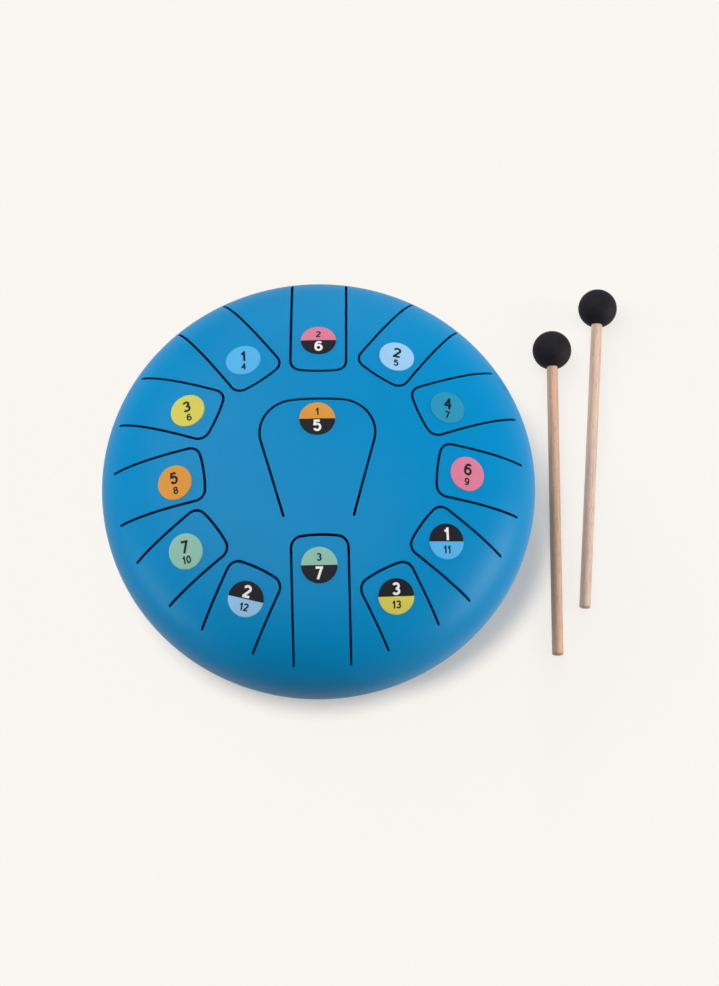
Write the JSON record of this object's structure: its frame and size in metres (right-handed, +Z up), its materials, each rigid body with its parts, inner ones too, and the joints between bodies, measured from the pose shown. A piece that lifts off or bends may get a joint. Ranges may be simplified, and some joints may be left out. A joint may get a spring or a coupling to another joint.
{
  "type": "tongue drum",
  "caption": "Steel tongue drum: a painted, lens-shaped hollow body with tuned tongues slit into its top, note stickers, rubber feet, and ball mallets lying beside it.",
  "frame": {"origin": "on the table, under the middle of the box round the drum and its mallets", "axes": "+X to the player's right, from the drum to the mallets; +Y away from the player; +Z up"},
  "size_m": [0.3732, 0.3218, 0.1347],
  "materials": {
    "blue_paint": "satin baked enamel on steel sheet",
    "sticker_orange": "printed vinyl, satin",
    "sticker_pink": "printed vinyl, satin",
    "sticker_green": "printed vinyl, satin",
    "sticker_sky": "printed vinyl, satin",
    "sticker_pale_blue": "printed vinyl, satin",
    "sticker_yellow": "printed vinyl, satin",
    "sticker_teal": "printed vinyl, satin",
    "foot_rubber": "matte",
    "ball_rubber": "matte, moulded",
    "stick_wood_1": "bare, sanded",
    "stick_wood_2": "bare, sanded"
  },
  "bodies": {
    "drum": {"top_shell": "blue_paint", "bottom_shell": "blue_paint", "foot_1": "foot_rubber", "foot_2": "foot_rubber", "foot_3": "foot_rubber", "foot_4": "foot_rubber"},
    "tongue_01": {"tongue_01": "blue_paint", "sticker_01": "sticker_orange"},
    "tongue_02": {"tongue_02": "blue_paint", "sticker_02": "sticker_pink"},
    "tongue_03": {"tongue_03": "blue_paint", "sticker_03": "sticker_green"},
    "tongue_04": {"tongue_04": "blue_paint", "sticker_04": "sticker_sky"},
    "tongue_05": {"tongue_05": "blue_paint", "sticker_05": "sticker_pale_blue"},
    "tongue_06": {"tongue_06": "blue_paint", "sticker_06": "sticker_yellow"},
    "tongue_07": {"tongue_07": "blue_paint", "sticker_07": "sticker_teal"},
    "tongue_08": {"tongue_08": "blue_paint", "sticker_08": "sticker_orange"},
    "tongue_09": {"tongue_09": "blue_paint", "sticker_09": "sticker_pink"},
    "tongue_10": {"tongue_10": "blue_paint", "sticker_10": "sticker_green"},
    "tongue_11": {"tongue_11": "blue_paint", "sticker_11": "sticker_sky"},
    "tongue_12": {"tongue_12": "blue_paint", "sticker_12": "sticker_pale_blue"},
    "tongue_13": {"tongue_13": "blue_paint", "sticker_13": "sticker_yellow"},
    "mallet_1": {"mallet_1_stick": "stick_wood_1", "mallet_1_ball": "ball_rubber"},
    "mallet_2": {"mallet_2_stick": "stick_wood_2", "mallet_2_ball": "ball_rubber"}
  },
  "joints": [
    {"name": "tongue_01_flex", "type": "hinge", "parent": "drum", "child": "tongue_01", "pos_m": [-0.03664, -0.05551, 0.13108], "axis": [1, 0, 0], "range_deg": [-0.4, 0.4], "stiffness_Nm_per_rad": 40},
    {"name": "tongue_02_flex", "type": "hinge", "parent": "drum", "child": "tongue_02", "pos_m": [-0.03392, 0.13066, 0.09224], "axis": [-0.9998, 0.0192, 0], "range_deg": [-0.4, 0.4], "stiffness_Nm_per_rad": 40},
    {"name": "tongue_03_flex", "type": "hinge", "parent": "drum", "child": "tongue_03", "pos_m": [-0.03592, -0.14811, 0.09786], "axis": [1, 0.0052, 0], "range_deg": [-0.4, 0.4], "stiffness_Nm_per_rad": 40},
    {"name": "tongue_04_flex", "type": "hinge", "parent": "drum", "child": "tongue_04", "pos_m": [-0.11667, 0.10554, 0.09264], "axis": [-0.8241, -0.5664, 0], "range_deg": [-0.4, 0.4], "stiffness_Nm_per_rad": 40},
    {"name": "tongue_05_flex", "type": "hinge", "parent": "drum", "child": "tongue_05", "pos_m": [0.04596, 0.10361, 0.09277], "axis": [-0.8111, 0.585, 0], "range_deg": [-0.4, 0.4], "stiffness_Nm_per_rad": 40},
    {"name": "tongue_06_flex", "type": "hinge", "parent": "drum", "child": "tongue_06", "pos_m": [-0.16459, 0.04288, 0.09598], "axis": [-0.3875, -0.9219, 0], "range_deg": [-0.4, 0.4], "stiffness_Nm_per_rad": 40},
    {"name": "tongue_07_flex", "type": "hinge", "parent": "drum", "child": "tongue_07", "pos_m": [0.09132, 0.04209, 0.09638], "axis": [-0.3827, 0.9239, 0], "range_deg": [-0.4, 0.4], "stiffness_Nm_per_rad": 40},
    {"name": "tongue_08_flex", "type": "hinge", "parent": "drum", "child": "tongue_08", "pos_m": [-0.17237, -0.0295, 0.09803], "axis": [0.1357, -0.9907, 0], "range_deg": [-0.4, 0.4], "stiffness_Nm_per_rad": 40},
    {"name": "tongue_09_flex", "type": "hinge", "parent": "drum", "child": "tongue_09", "pos_m": [0.09912, -0.02854, 0.09812], "axis": [0.1288, 0.9917, 0], "range_deg": [-0.4, 0.4], "stiffness_Nm_per_rad": 40},
    {"name": "tongue_10_flex", "type": "hinge", "parent": "drum", "child": "tongue_10", "pos_m": [-0.14755, -0.09031, 0.09855], "axis": [0.5821, -0.8131, 0], "range_deg": [-0.4, 0.4], "stiffness_Nm_per_rad": 40},
    {"name": "tongue_11_flex", "type": "hinge", "parent": "drum", "child": "tongue_11", "pos_m": [0.07336, -0.09054, 0.09906], "axis": [0.5864, 0.81, 0], "range_deg": [-0.4, 0.4], "stiffness_Nm_per_rad": 40},
    {"name": "tongue_12_flex", "type": "hinge", "parent": "drum", "child": "tongue_12", "pos_m": [-0.09823, -0.13127, 0.09957], "axis": [0.8902, -0.4555, 0], "range_deg": [-0.4, 0.4], "stiffness_Nm_per_rad": 40},
    {"name": "tongue_13_flex", "type": "hinge", "parent": "drum", "child": "tongue_13", "pos_m": [0.02451, -0.13093, 0.1], "axis": [0.891, 0.454, 0], "range_deg": [-0.4, 0.4], "stiffness_Nm_per_rad": 40},
    {"name": "mallet_1_lift", "type": "slide", "parent": "drum", "child": "mallet_1", "axis": [0, 0, 1], "range_m": [0, 0.15]},
    {"name": "mallet_2_lift", "type": "slide", "parent": "drum", "child": "mallet_2", "axis": [0, 0, 1], "range_m": [0, 0.15]}
  ]
}
